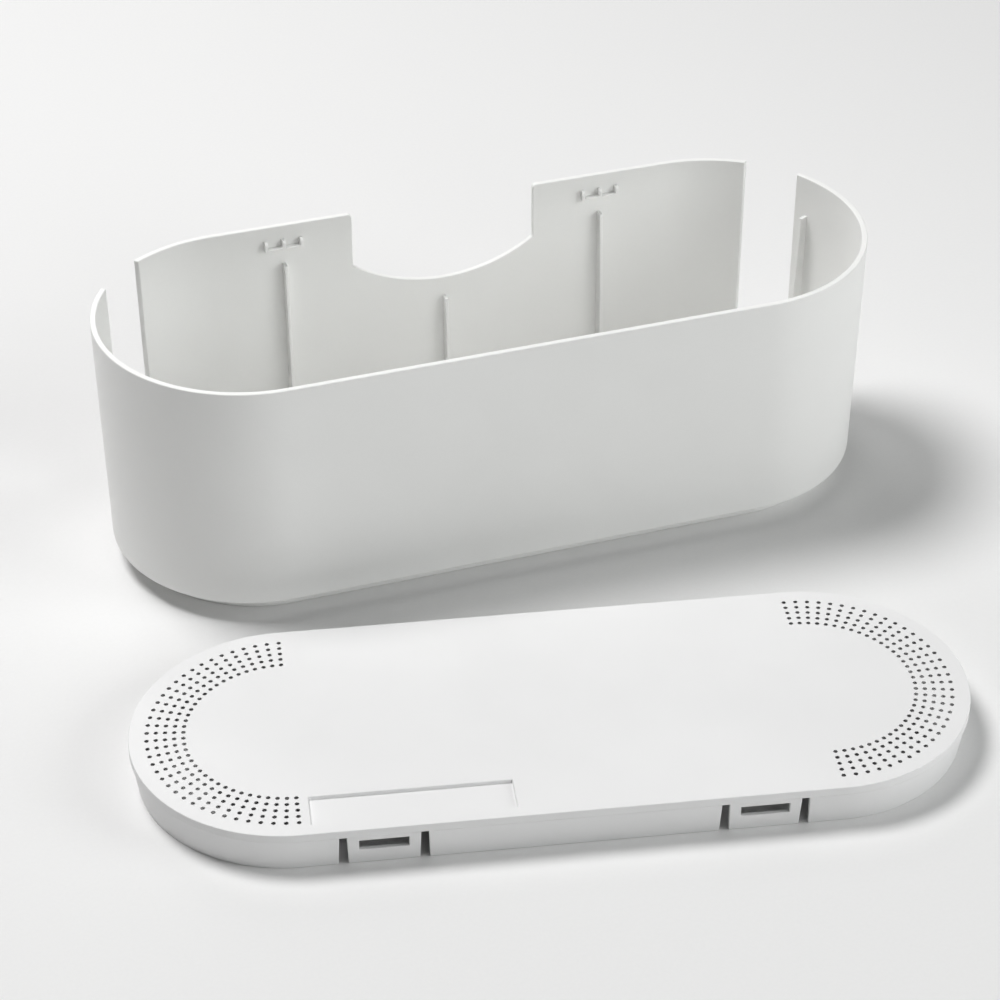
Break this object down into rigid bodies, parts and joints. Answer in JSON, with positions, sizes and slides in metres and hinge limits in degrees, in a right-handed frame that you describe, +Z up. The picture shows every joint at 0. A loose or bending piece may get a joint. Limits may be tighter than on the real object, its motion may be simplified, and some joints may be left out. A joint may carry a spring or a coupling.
{
  "type": "cable management box",
  "caption": "Open obround tub that hides a power strip, with a rear cut-out and corner slots for its cables, and a vented clip-in lid lying in front.",
  "frame": {"origin": "centre of the tub's flat base, on the surface that it stands on", "axes": "+X along the tub, -Y its plain front with the lid in front of it, +Z up"},
  "size_m": [0.3492, 0.3082, 0.11],
  "materials": {
    "tub_plastic": "fine satin moulded white",
    "lid_plastic": "fine satin moulded white"
  },
  "bodies": {
    "tub": {"tub": "tub_plastic"},
    "lid": {"lid": "lid_plastic"},
    "front_left_latch": {"front_left_latch": "lid_plastic"},
    "front_right_latch": {"front_right_latch": "lid_plastic"},
    "rear_left_latch": {"rear_left_latch": "lid_plastic"},
    "rear_right_latch": {"rear_right_latch": "lid_plastic"}
  },
  "joints": [
    {"name": "lid_lift", "type": "slide", "parent": "tub", "child": "lid", "axis": [0, 0, 1], "range_m": [0, 0.16]},
    {"name": "front_left_flex", "type": "hinge", "parent": "lid", "child": "front_left_latch", "pos_m": [-0.10823, -0.21057, 0.0141], "axis": [0.9823, -0.1874, 0], "range_deg": [0, 8], "stiffness_Nm_per_rad": 2},
    {"name": "front_right_flex", "type": "hinge", "parent": "lid", "child": "front_right_latch", "pos_m": [0.02929, -0.2368, 0.0141], "axis": [0.9823, -0.1874, 0], "range_deg": [0, 8], "stiffness_Nm_per_rad": 2},
    {"name": "rear_left_flex", "type": "hinge", "parent": "lid", "child": "rear_left_latch", "pos_m": [-0.08669, -0.0976, 0.0141], "axis": [-0.9823, 0.1874, 0], "range_deg": [0, 8], "stiffness_Nm_per_rad": 2},
    {"name": "rear_right_flex", "type": "hinge", "parent": "lid", "child": "rear_right_latch", "pos_m": [0.05083, -0.12384, 0.0141], "axis": [-0.9823, 0.1874, 0], "range_deg": [0, 8], "stiffness_Nm_per_rad": 2}
  ]
}
